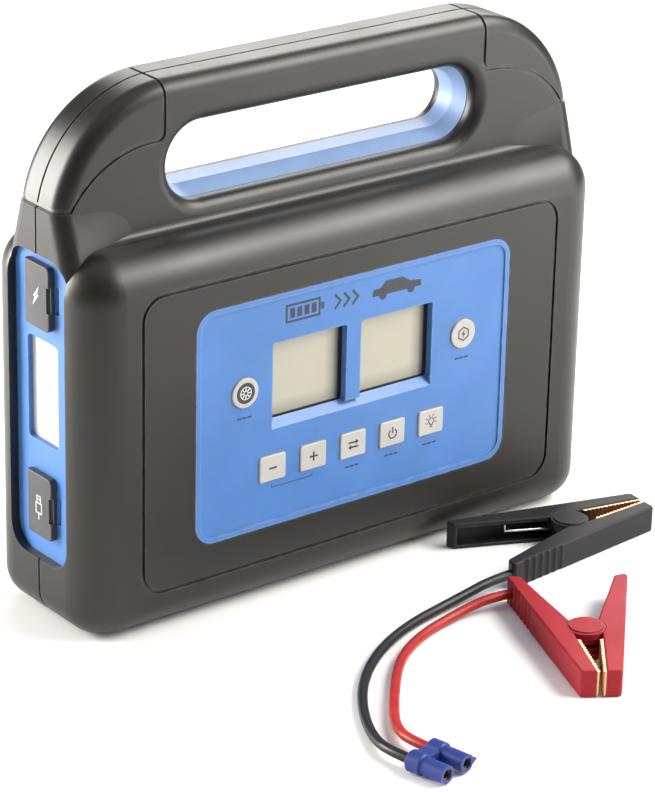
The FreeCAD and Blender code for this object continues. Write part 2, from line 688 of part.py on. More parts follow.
def build_lamp():
    """Lamp lens, its diffuser tray and the board that carries the LEDs."""
    inner = -panel_span()[0]
    z_span = (d.lamp_bottom - 2, d.lamp_top + 2)
    y_span = (d.lamp_middle - d.lamp_half - 2, d.lamp_middle + d.lamp_half + 2)
    lens = new_body("lamp_lens")
    pad(lens, "YZ", [("rectangle", y_span, z_span, 2.0)], inner, inner + 1.6)
    tray = new_body("lamp_diffuser")
    back = inner + 1.6 + 6
    pad(tray, "YZ", [("rectangle", y_span, z_span, 2.0)], inner + 1.6, back)
    pocket(tray, "YZ", [("rectangle", (y_span[0] + 1.2, y_span[1] - 1.2), (z_span[0] + 1.2, z_span[1] - 1.2),
                         1.5)], inner + 2.4, back)
    board = new_body("lamp_plate")
    pad(board, "YZ", [("rectangle", y_span, z_span)], back, back + 1.6)
    leds = [box(f"led_{number}", (back - 0.7, back), (d.lamp_middle - 1.4, d.lamp_middle + 1.4),
                (z - 1.4, z + 1.4))
            for number, z in enumerate(d.lamp_bottom + 4.5 + 9 * step for step in range(5))]
    fuse("lamp_board", board, *leds)


def build_ports():
    """The jump socket with its two pins, and the USB socket, behind the covers."""
    inner = -panel_span()[0]
    port_y, half_pitch = d.port_y, 4.8
    jump = box("jump_block", (inner, inner + 20), (port_y - 7, port_y + 7), (d.jump_port_z - 12.5,
                                                                           d.jump_port_z + 12.5))
    bores = [cylinder(f"jump_bore_{side}", "x", 3.4, (inner, port_y, d.jump_port_z + side * half_pitch), 14)
             for side in (-1, 1)]
    cut("jump_socket", jump, fuse("jump_bores", *bores))
    pins = [cylinder(f"jump_pin_{side}", "x", 1.9, (inner + 5, port_y, d.jump_port_z + side * half_pitch), 9)
            for side in (-1, 1)]
    fuse("jump_socket_pins", *pins)
    shell = box("usb_shell", (inner, inner + 14), (port_y - 2.9, port_y + 2.9), (d.usb_port_z - 6.6,
                                                                               d.usb_port_z + 6.6))
    mouth = box("usb_mouth", (inner, inner + 12), (port_y - 2.5, port_y + 2.5), (d.usb_port_z - 6.2,
                                                                               d.usb_port_z + 6.2))
    tongue = box("usb_tongue", (inner + 1.5, inner + 12), (port_y + 0.2, port_y + 2.0),
                 (d.usb_port_z - 5.2, d.usb_port_z + 5.2))
    fuse("usb_socket", cut("usb_case", shell, mouth), tongue)


def build_right_panel():
    """The panel on the right: cooling slots, the air outlet and the charging socket."""
    inner, outer = (float(value) for value in panel_span())
    plate = side_recess(1, inner, outer, float(d.side_flange))
    plate = plate.common(case_envelope(float(d.wall) + 0.02))
    for step in range(7):
        z = 76 + 6 * step
        plate = plate.cut(rounded_plug("x", (-11, 11), (z - 1.2, z + 1.2), inner - 1, outer + 1, 1.15))
    air = Part.makeCylinder(5.0, 10, V(inner - 2, 0, float(d.jump_port_z)), V(1, 0, 0))
    charge = Part.makeCylinder(5.5, 10, V(inner - 2, 0, float(d.usb_port_z)), V(1, 0, 0))
    solid("right_panel", plate.cut(air).cut(charge))
    z = d.jump_port_z
    barrel = cylinder("outlet_barrel", "x", 4.95, (inner - 8, 0, z), 13)
    collar = cylinder("outlet_collar", "x", 7.5, (inner - 2.5, 0, z), 2.48)
    bore = cylinder("outlet_bore", "x", 2.4, (inner - 9, 0, z), 15)
    cut("air_outlet", fuse("outlet_body", barrel, collar), bore)
    z = d.usb_port_z
    shell = cylinder("charge_shell", "x", 5.45, (inner - 9, 0, z), 11.2)
    flange = cylinder("charge_flange", "x", 7.5, (inner - 3, 0, z), 2.98)
    well = cylinder("charge_well", "x", 3.2, (inner - 6, 0, z), 9)
    pin = cylinder("charge_pin", "x", 1.0, (inner - 6.5, 0, z), 7)
    fuse("charge_socket", cut("charge_case", fuse("charge_body", shell, flange), well), pin)


# ---------------------------------------------------------------- battery and power board
def build_battery():
    """Four flat cells in a tray at the rear wall, and the power board with its relay and coil above."""
    back = depth_half - d.wall - 4.8
    cell, gap, wall = 6.6, 0.4, 1.6
    x_span, z_span = (-98, 62), (7.6, 75)
    start = back - 4 * (cell + gap) - 2 * wall
    tray = box("tray_block", (x_span[0] - wall, x_span[1] + wall), (start, back - 0.02),
               (z_span[0] - wall, z_span[1] - 22))
    space = box("tray_space", x_span, (start + wall, back - wall), (z_span[0], z_span[1] + 5))
    cut("battery_tray", tray, space)
    cells = [box(f"cell_{number}", (x_span[0] + 0.2, x_span[1] - 0.2),
                 (start + wall + gap / 2 + number * (cell + gap), start + wall + gap / 2 + number * (cell + gap)
                  + cell), z_span) for number in range(4)]
    fuse("battery_cells", *cells)
    board = new_body("power_plate")
    pad(board, "XZ", [("rectangle", (-108.5, -14), (80, 148), 2.0)], 8, 9.6)
    relay = box("relay", (-60, -40), (-6, 8), (110, 128))
    coil = cylinder("coil", "y", 9, (-84, -4, 112), 12)
    fuse("power_board", board, relay, coil)


# ---------------------------------------------------------------- tyre inflator
def gear_outline(teeth, y, phase=0.0):
    """A gear's outline in the plane across y, with straight-flanked teeth."""
    module = float(d.gear_module)
    pitch, tip, root = module * teeth / 2, module * (teeth / 2 + 0.95), module * (teeth / 2 - 1.2)
    step = 2 * math.pi / teeth
    corners = [(root, -0.30), (pitch, -0.235), (tip, -0.12), (tip, 0.12), (pitch, 0.235), (root, 0.30)]
    spots = []
    for tooth in range(teeth):
        for radius, part in corners:
            angle = (tooth + part + phase) * step
            spots.append(V(radius * math.sin(angle), y, radius * math.cos(angle)))
    return Part.makePolygon(spots + spots[:1])


def gear(teeth, y0, y1, phase=0.0):
    """A spur gear about the y axis."""
    return Part.Face(gear_outline(teeth, y0, phase)).extrude(V(0, y1 - y0, 0))


def build_inflator():
    """Motor, pinion, crank gear, piston, cylinder and head on one plate."""
    x, motor_z, gear_z = float(d.pump_x), float(d.motor_z), float(d.gear_z)
    plate_y, rod_y, crank = -float(d.plate_front), -float(d.rod_y), float(d.crank_radius)
    plate_back = plate_y + 3
    place = V(x, 0, motor_z)
    back = float(depth_half - d.wall) - 1.8

    plate = new_body("pump_plate")
    pad(plate, "XZ", [("rectangle", (d.pump_x - 17, d.pump_x + 12.5), (20, 118), 3.0)], -d.plate_front,
        -d.plate_front + 3)
    pocket(plate, "XZ", [("circle", (d.pump_x, d.motor_z), 4.2)], -d.plate_front - 1, -d.plate_front + 4)

    motor = Part.makeCylinder(float(d.motor_radius), back - 0.02 - plate_back, V(x, plate_back, motor_z),
                              V(0, 1, 0))
    boss = Part.makeCylinder(4.0, 2.5, V(x, plate_back - 2.4, motor_z), V(0, 1, 0))
    bore = Part.makeCylinder(1.55, 12, V(x, plate_back - 3, motor_z), V(0, 1, 0))
    solid("inflator_motor", motor.fuse(boss).cut(bore))

    face, tooth_back = plate_y - 8, plate_y - 3.5
    pinion = gear(int(float(d.pinion_teeth)), face, tooth_back, 0.5)
    pinion.translate(place)
    shaft = Part.makeCylinder(1.5, plate_back + 8 - face, V(x, face, motor_z), V(0, 1, 0))
    solid("motor_pinion", pinion.fuse(shaft))

    wheel = gear(int(float(d.gear_teeth)), face, tooth_back)
    wheel = wheel.cut(Part.makeCylinder(2.03, 20, V(0, face - 5, 0), V(0, 1, 0)))
    for number in range(6):
        angle = math.radians(30 + 60 * number)
        spot = V(12.5 * math.sin(angle), face - 1, 12.5 * math.cos(angle))
        wheel = wheel.cut(Part.makeCylinder(3.0, 20, spot, V(0, 1, 0)))
    pin = Part.makeCylinder(2.4, 1.1, V(0, face - 0.6, crank), V(0, 1, 0))
    wheel = wheel.fuse(pin)
    wheel.translate(V(x, 0, gear_z))
    solid("crank_gear", wheel)
    axle = cylinder("crank_axle", "y", 2.0, (d.pump_x, -d.plate_front - 8, d.gear_z), 8.5)
    fuse("inflator_frame", plate, axle)

    big_end, piston_z = gear_z + crank, gear_z + crank + 32
    eye = Part.makeCylinder(5.2, 4, V(x, rod_y - 2, big_end), V(0, 1, 0))
    eye = eye.cut(Part.makeCylinder(2.5, 6, V(x, rod_y - 3, big_end), V(0, 1, 0)))
    rod = Part.makeBox(5, 3.6, piston_z - big_end - 4, V(x - 2.5, rod_y - 1.8, big_end + 4.4))
    crown = Part.makeCylinder(float(d.bore_radius) - 0.05, 8, V(x, rod_y, piston_z), V(0, 0, 1))
    solid("piston_rod", eye.fuse([rod, crown]).removeSplitter())

    barrel_low, barrel_high = gear_z + 23, piston_z + 9.5
    bore_r, outer_r = float(d.bore_radius), float(d.cylinder_radius)
    barrel = Part.makeCylinder(outer_r, barrel_high - barrel_low, V(x, rod_y, barrel_low))
    barrel = barrel.cut(Part.makeCylinder(bore_r, 80, V(x, rod_y, barrel_low - 5)))
    solid("inflator_cylinder", barrel)
    head = Part.makeBox(26, plate_y - rod_y + 12.5, 6, V(x - 13, rod_y - 12.5, barrel_high))
    head = head.makeFillet(2, edges_at(head, lambda b: b.ZLength > 5.9))
    nipple = Part.makeCylinder(2.2, 6, V(x, rod_y, barrel_high + 6))
    solid("cylinder_head", head.fuse(nipple))
    build_air_pipe(V(x, rod_y, barrel_high + 12))


def build_air_pipe(start):
    """The pipe from the cylinder head up and across to the air outlet."""
    end = V(float(panel_span()[0]) - 8, 0, float(d.jump_port_z))
    route = [start, start + V(0, 0, 11), end - V(9.5, 0, 0), end]
    solid("air_pipe", tube(route, 2.2, "air pipe"))


# ---------------------------------------------------------------- tubes along a hand-chosen route
def tube(route, radius, label):
    """A round tube whose centre line is straight runs joined by tangent arcs."""
    edges, place, radii = [], route[0], []
    for before, corner, after in zip(route, route[1:], route[2:]):
        back, ahead = before - corner, after - corner
        shorter = min(back.Length, ahead.Length)
        back.normalize()
        ahead.normalize()
        turn = math.pi - back.getAngle(ahead)
        reach = 0.45 * shorter
        arc_radius = reach / math.tan(turn / 2)
        radii.append(round(arc_radius, 1))
        first, last = corner + back * reach, corner + ahead * reach
        inward = back + ahead
        inward.normalize()
        middle = corner + inward * (arc_radius / math.cos(turn / 2) - arc_radius)
        edges += [Part.LineSegment(place, first), Part.Arc(first, middle, last)]
        place = last
    edges.append(Part.LineSegment(place, route[-1]))
    wire = Part.Wire([edge.toShape() for edge in edges])
    section = Part.Wire([Part.Circle(route[0], route[1] - route[0], radius).toShape()])
    shape = wire.makePipeShell([section], True, False)
    expected = math.pi * radius ** 2 * wire.Length
    print(label, "length", round(wire.Length, 1), "radii", radii, "volume ratio",
          round(shape.Volume / expected, 4))
    return shape


# ---------------------------------------------------------------- screws and feet
def build_fasteners():
    """Six case screws in one node and four feet in another."""
    screws = []
    for x, z in POST_PLACES:
        seat = GRIP - 3 if z > float(d.body_height) else FACE - 4
        shank = Part.makeCylinder(SCREW_RADIUS, seat + 11.5, V(x, -11.5, z), V(0, 1, 0))
        head = Part.makeCylinder(SCREW_HEAD, 1.8, V(x, seat, z), V(0, 1, 0))
        slot = Part.makeBox(3.4, 1.2, 0.8, V(x - 1.7, seat + 0.9, z - 0.4))
        cross = Part.makeBox(0.8, 1.2, 3.4, V(x - 0.4, seat + 0.9, z - 1.7))
        screws.append(shank.fuse(head).cut(slot).cut(cross))
    solid("case_screws", Part.makeCompound(screws))
    pads = [Part.makeCylinder(FOOT_RADIUS, FOOT_SEAT, V(x, y, 0)) for x, y in FOOT_PLACES]
    solid("feet", Part.makeCompound(pads))


# ---------------------------------------------------------------- battery clamps, cables and plug
def placed(shape, name):
    """Moves a shape from a lead's own frame to where that clamp or plug lies on the ground."""
    x, y, turn = (float(getattr(d, f"{name}_{key}")) for key in ("x", "y", "turn"))
    shape = shape.copy()
    shape.rotate(V(), V(0, 0, 1), turn)
    shape.translate(V(x, y, 0))
    return shape


def flat_prism(points, low, high):
    """A straight-sided prism over an outline in the ground plane."""
    spots = [V(x, y, low) for x, y in points]
    return Part.Face(Part.makePolygon(spots + spots[:1])).extrude(V(0, 0, high - low))


def disc(radius, low, high):
    """A round plate about a clamp's pivot."""
    return Part.makeCylinder(radius, high - low, V(0, 0, low))


JAW_STRIP, JAW_GAP, EAR, PIVOT_GAP = 1.4, 0.4, 2.6, 0.3
SKIN, PLATE = 2.4, 1.8


def outer_edge(x):
    """How far an arm's outer edge stands from the clamp's middle line, at a distance from the pivot."""
    back, tip = float(d.handle_reach), float(d.jaw_reach)
    wide, narrow = float(d.handle_spread), float(d.jaw_spread)
    return wide + (narrow - wide) * (x + back) / (tip + back)


def clamp_arm(side):
    """One moulded arm: a hollow ribbed handle, a pivot ear on each face and a blunt jaw."""
    thick, back, tip = float(d.clamp_thick), float(d.handle_reach), float(d.jaw_reach)
    wide, slim, waist = float(d.handle_spread), float(d.handle_end), float(d.pivot_radius) - 2.2
    seat = JAW_STRIP + JAW_GAP
    outline = [(-back, wide), (tip, outer_edge(tip)), (tip, seat), (10, seat + 3.6), (4, waist), (-6, waist),
               (1.5 - back, wide - slim)]
    arm = flat_prism([(x, side * y) for x, y in outline], 0, thick)
    ends = edges_at(arm, lambda b: b.ZLength > thick - 0.01
                    and (abs(b.XMin + back) < 2 or (b.XMin > tip - 0.1 and abs(b.YMin) > seat + 1)))
    arm = arm.makeFillet(1.6, ends)
    arm = arm.makeFillet(0.9, edges_at(arm, lambda b: b.ZLength < 0.01))
    groove_radius, pitch = 3.0, 4.2
    for number in range(6):
        x = 8 - back + pitch * number
        spot = V(x, side * (outer_edge(x) + groove_radius - 0.75), -1)
        arm = arm.cut(Part.makeCylinder(groove_radius, thick + 2, spot))
    start, end = 2.6 - back, -4.0
    hollow = [(start + 0.4, outer_edge(start) - SKIN), (end, outer_edge(end) - SKIN), (end, waist - 3),
              (start - 0.4, wide - slim - 6)]
    return arm.cut(flat_prism([(x, side * y) for x, y in hollow], PLATE, thick - PLATE))


def clamp_pair():
    """The two arms of a clamp, with their ears cut to clear each other about the pin."""
    thick, pivot, pin = (float(size) for size in (d.clamp_thick, d.pivot_radius, d.pin_radius))
    low, high = EAR + PIVOT_GAP, thick - EAR - PIVOT_GAP
    lug = 2.0
    fixed, lever = clamp_arm(-1), clamp_arm(1)
    fixed = fixed.cut(disc(pivot - 0.5, EAR, thick - EAR))
    fixed = fixed.fuse([disc(pivot, 0, EAR), disc(pivot, thick - EAR, thick)])
    fixed = fixed.fuse(disc(pivot - 1.2, thick - EAR, thick + 0.7)).removeSplitter()
    lever = lever.cut(disc(pivot + PIVOT_GAP, -1, low)).cut(disc(pivot + PIVOT_GAP, high, thick + 1))
    lever = lever.fuse([disc(pivot - 0.9, low, low + lug), disc(pivot - 0.9, high - lug, high)])
    return fixed.cut(disc(pin, 1, thick - 1)), lever.cut(disc(pin + 0.05, -1, thick + 1))


def jaw_strip(side):
    """One toothed metal jaw that lines the inner face of an arm."""
    thick, tip = float(d.clamp_thick), float(d.jaw_reach)
    start, teeth, tooth = 11.0, 14, 0.75
    pitch = (tip - start) / teeth
    slope = 3.6 / (tip - 10)

    def inner(x):
        return JAW_GAP + slope * (tip - x)

    points = [(start, inner(start) + JAW_STRIP)]
    for number in range(teeth):
        x = start + pitch * number
        points += [(x, inner(x) + tooth), (x + pitch / 2, inner(x + pitch / 2) - 0.1)]
    points += [(tip, inner(tip) + tooth), (tip, inner(tip) + JAW_STRIP)]
    return flat_prism([(x, side * y) for x, y in points], 0.8, thick - 0.5)


def clamp_spring():
    """The torsion spring: a coil round the pin and a hooked leg along each handle."""
    thick, pin = float(d.clamp_thick), float(d.pin_radius)
    middle, wire, coil, reach, hook = thick / 2, 0.6, pin + 1.2, 27.0, 6.4
    angle = math.radians(158)
    pieces = [Part.makeTorus(coil, wire, V(0, 0, middle))]
    for side in (-1, 1):
        start = V(0, side * coil, middle)
        along = V(math.cos(angle), side * math.sin(angle), 0)
        end = start + along * reach
        pieces.append(Part.makeCylinder(wire, reach, start, along))
        pieces.append(Part.makeSphere(wire, start))
        pieces.append(Part.makeCylinder(wire, hook, end - V(0, 0, hook / 2)))
    return pieces[0].multiFuse(pieces[1:])


def build_clamp(colour):
    """Six nodes of one battery clamp."""
    where = f"{colour}_clamp"
    fixed, lever = clamp_pair()
    solid(f"{where}_arm", placed(fixed, where))
    solid(f"{where}_lever", placed(lever, where))
    solid(f"{where}_arm_jaw", placed(jaw_strip(-1), where))
    solid(f"{where}_lever_jaw", placed(jaw_strip(1), where))
    solid(f"{where}_pin", placed(disc(float(d.pin_radius), 1, float(d.clamp_thick) - 1), where))
    solid(f"{where}_spring", placed(clamp_spring(), where))


COLLAR_RADIUS, COLLAR_DEPTH, BARREL_REACH, CONTACT_WALL = 4.5, 7.0, 11.0, 0.7


def build_plug():
    """The two-pole plug: two collars joined by a web, and two round barrels, one with a pointed side."""
    height, spacing = float(d.plug_height), float(d.plug_pitch) / 2
    barrel, bore = float(d.barrel_radius), float(d.contact_radius)
    web = 2.6
    items = [Part.makeBox(COLLAR_DEPTH, 2 * spacing, 2 * web, V(-COLLAR_DEPTH, -spacing, height - web))]
    for side in (-1, 1):
        rear, front = V(-COLLAR_DEPTH, side * spacing, height), V(-1, side * spacing, height)
        collar = Part.makeCylinder(COLLAR_RADIUS, COLLAR_DEPTH, rear, V(1, 0, 0))
        items.append(collar.makeChamfer(0.6, collar.Edges[:1] + collar.Edges[2:3]))
        items.append(Part.makeCylinder(barrel, BARREL_REACH + 1, front, V(1, 0, 0)))
    slope, tip = 3.5, 6.2
    nose = [V(-1, spacing, height + slope), V(-1, spacing + tip, height), V(-1, spacing, height - slope)]
    items.append(Part.Face(Part.makePolygon(nose + nose[:1])).extrude(V(BARREL_REACH + 1, 0, 0)))
    housing = items[0].fuse(items[1:]).removeSplitter()
    tubes = []
    floor, length = 1.5 - COLLAR_DEPTH, COLLAR_DEPTH + BARREL_REACH - 2.5
    for side in (-1, 1):
        seat = V(floor, side * spacing, height)
        housing = housing.cut(Part.makeCylinder(bore, 40, seat, V(1, 0, 0)))
        contact = Part.makeCylinder(bore, length, seat, V(1, 0, 0))
        tubes.append(contact.cut(Part.makeCylinder(bore - CONTACT_WALL, 40, seat + V(3, 0, 0), V(1, 0, 0))))
    solid("plug_housing", placed(housing, "plug"))
    solid("plug_contacts", placed(Part.makeCompound(tubes), "plug"))


def lead_points(name, spot, turn, reach):
    """A point in a lead's own frame and a second one further along a direction, both placed."""
    start, angle = V(*spot), math.radians(turn)
    ahead = start + V(math.cos(angle), math.sin(angle), 0) * reach
    return [placed(Part.Vertex(point), name).Point for point in (start, ahead)]


# Each cable's route between its clamp and the plug, along the ground.
BLACK_ROUTE = [(20, -89.6, 3.9), (5.5, -91, 2.4), (-9, -94, 2.3), (-23, -98.7, 2.3), (-36.2, -105, 2.3),
               (-48.5, -112.9, 2.3), (-59.7, -122.2, 2.3), (-69.4, -132.7, 2.3), (-77.6, -144, 2.3),
               (-84.3, -155.5, 2.4), (-89.2, -166.6, 3.2)]
RED_ROUTE = [(11.6, -100.2, 3.8), (-0.8, -101.4, 2.4), (-13, -104.6, 2.3), (-24.7, -109.7, 2.3),
             (-35.5, -116.5, 2.3), (-45.2, -125, 2.3), (-54, -134.6, 2.3), (-62.4, -144.4, 2.3),
             (-70.2, -154.2, 2.4), (-76.6, -164.3, 3.2)]


def build_cables():
    """The black and the red cable, each from its clamp's handle to the plug."""
    height, plug_height = float(d.clamp_thick) / 2, float(d.plug_height)
    back, lead, half_pitch = -float(d.handle_reach), 11.0, float(d.plug_pitch) / 2
    ends = {"black": (lead_points("black_clamp", (back + 1.5, -22.6, height), 186, 12),
                      lead_points("plug", (-COLLAR_DEPTH, -half_pitch, plug_height), 180, lead), BLACK_ROUTE),
            "red": (lead_points("red_clamp", (back + 5, -22.9, height), 290, 12),
                    lead_points("plug", (-COLLAR_DEPTH, half_pitch, plug_height), 180, lead), RED_ROUTE)}
    for colour, (near, far, middle) in ends.items():
        route = near + [V(*spot) for spot in middle] + far[::-1]
        print(colour, [(round(spot.x, 1), round(spot.y, 1), round(spot.z, 1)) for spot in route])
        solid(f"{colour}_cable", tube(route, float(d.cable_radius), f"{colour} cable"))


build_case()
build_liner()
build_control_panel()
build_keys()
build_displays()
build_control_board()
build_side_panel()
build_covers()
build_lamp()
build_ports()
build_right_panel()
build_battery()
build_inflator()
build_fasteners()
for clamp_colour in ("black", "red"):
    build_clamp(clamp_colour)
build_plug()
build_cables()


NODES = """
front_shell rear_shell corner_cap_front_left corner_cap_front_right corner_cap_rear_left
corner_cap_rear_right handle_liner feet case_screws control_panel pressure_display charge_display
control_board key_switches key_minus key_plus key_mode key_power key_light key_inflator
key_engine_start side_panel jump_port_cover usb_port_cover lamp_lens lamp_diffuser lamp_board
jump_socket jump_socket_pins usb_socket right_panel air_outlet charge_socket battery_tray
battery_cells power_board inflator_frame inflator_motor motor_pinion crank_gear piston_rod
inflator_cylinder cylinder_head air_pipe black_clamp_arm black_clamp_lever black_clamp_arm_jaw
black_clamp_lever_jaw black_clamp_pin black_clamp_spring red_clamp_arm red_clamp_lever
red_clamp_arm_jaw red_clamp_lever_jaw red_clamp_pin red_clamp_spring plug_housing plug_contacts
black_cable red_cable
""".split()


def label_nodes():
    """Gives the last object of each sub-part the name of its node as its label."""
    last = {}
    for item in doc.Objects:
        stem = item.Name.rsplit("_", 1)[0] if item.TypeId == "Part::Cut" else item.Name
        if stem in NODES:
            last[stem] = item
    missing = set(NODES) - set(last)
    if missing:
        raise RuntimeError(f"not built: {sorted(missing)}")
    for name, item in last.items():
        item.Label = name
    return last


def export_parts(parts):
    """Checks every object and writes each sub-part to its own file."""
    for item in doc.Objects:
        if any(flag in item.State for flag in ("Invalid", "Error")):
            raise RuntimeError(f"{item.Name} did not build: {item.State}")
    for name, item in parts.items():
        if item.Shape.isNull() or not item.Shape.isValid():
            raise RuntimeError(f"{name} has no valid shape")
    os.makedirs("parts", exist_ok=True)
    for name, item in parts.items():
        item.Shape.exportStep(f"parts/{name}.step")
        print(name, "solids", len(item.Shape.Solids), "volume", round(item.Shape.Volume, 1))


doc.recompute()
export_parts(label_nodes())
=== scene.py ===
import json
import math

import bmesh
import bpy
from mathutils import Matrix, Vector


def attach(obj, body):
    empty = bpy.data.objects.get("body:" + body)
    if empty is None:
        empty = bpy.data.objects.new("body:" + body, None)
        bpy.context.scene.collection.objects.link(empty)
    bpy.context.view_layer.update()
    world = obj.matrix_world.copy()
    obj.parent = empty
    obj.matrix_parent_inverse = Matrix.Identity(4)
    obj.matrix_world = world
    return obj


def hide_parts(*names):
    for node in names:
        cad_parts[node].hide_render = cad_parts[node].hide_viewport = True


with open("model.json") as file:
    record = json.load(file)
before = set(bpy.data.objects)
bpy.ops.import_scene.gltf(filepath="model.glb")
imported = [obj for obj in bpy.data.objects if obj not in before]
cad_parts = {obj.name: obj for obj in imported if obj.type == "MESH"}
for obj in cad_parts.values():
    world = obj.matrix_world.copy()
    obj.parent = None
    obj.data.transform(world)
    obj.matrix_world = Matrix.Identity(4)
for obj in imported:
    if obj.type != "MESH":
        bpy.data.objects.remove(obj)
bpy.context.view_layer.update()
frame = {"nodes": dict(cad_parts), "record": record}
nodes = frame["nodes"]
MM = 0.001


# ---------------------------------------------------------------- camera, floor and light
def add_camera():
    """A long lens above and to the left of the front."""
    data = bpy.data.cameras.new("camera")
    data.lens, data.sensor_width = 150.8, 36.0
    data.shift_x, data.shift_y = 0.0028, 0.0043
    data.clip_start, data.clip_end = 0.05, 20.0
    camera = bpy.data.objects.new("camera", data)
    bpy.context.collection.objects.link(camera)
    right = Vector((0.79068, -0.61188, 0.02073))
    up = Vector((0.22146, 0.31741, 0.92207))
    back = right.cross(up)
    turn = Matrix((right, up, back)).transposed().to_4x4()
    camera.matrix_world = Matrix.Translation((-0.80698, -1.04108, 0.61937)) @ turn
    bpy.context.scene.camera = camera


def add_floor():
    """A plain pale floor that fades into a pale surround."""
    bpy.ops.mesh.primitive_plane_add(size=30, location=(0, 0, 0))
    floor = bpy.context.object
    floor.name = "floor"
    graph = Graph("floor_paint")
    paint = graph.ramp(graph.noise(3, 3), (0.3, (0.90, 0.90, 0.90)), (0.7, (0.93, 0.93, 0.93)))
    graph.link(paint, "Base Color")
    graph.set(Roughness=0.85)
    floor.data.materials.append(graph.material)


def add_light(name, place, target, size, power):
    """A rectangular soft light, slightly warm, aimed at a point."""
    data = bpy.data.lights.new(name, "AREA")
    data.color = (1.0, 0.965, 0.92)
    data.shape = "RECTANGLE"
    data.size, data.size_y = size
    data.energy = power
    light = bpy.data.objects.new(name, data)
    light.location = place
    light.rotation_euler = (Vector(target) - Vector(place)).to_track_quat("-Z", "Y").to_euler()
    light.visible_camera = False
    bpy.context.collection.objects.link(light)
    return light


def add_lights():
    """Soft studio light: a pale surround, and soft boxes above, behind, to the left and to the right."""
    world = bpy.data.worlds.new("surround")
    world.use_nodes = True
    world.node_tree.nodes["Background"].inputs["Color"].default_value = (1, 1, 1, 1)
    world.node_tree.nodes["Background"].inputs["Strength"].default_value = 0.25
    bpy.context.scene.world = world
    middle = (0, 0, 0.1)
    add_light("top_box", (0.0, -0.1, 1.6), middle, (1.6, 1.2), 4)
    add_light("back_box", (0.95, 1.20, 0.86), middle, (1.2, 0.8), 14)
    add_light("side_box", (1.00, -0.50, 1.20), middle, (1.3, 0.7), 22)
    add_light("left_box", (-0.78, 0.74, 0.36), (-0.1, 0, 0.1), (0.6, 0.7), 27)
    add_light("right_box", (0.55, -0.56, 0.20), (0.1, 0, 0.14), (0.5, 0.36), 2.2)
    add_light("front_box", (0.80, -0.80, 0.90), middle, (0.9, 0.8), 13)


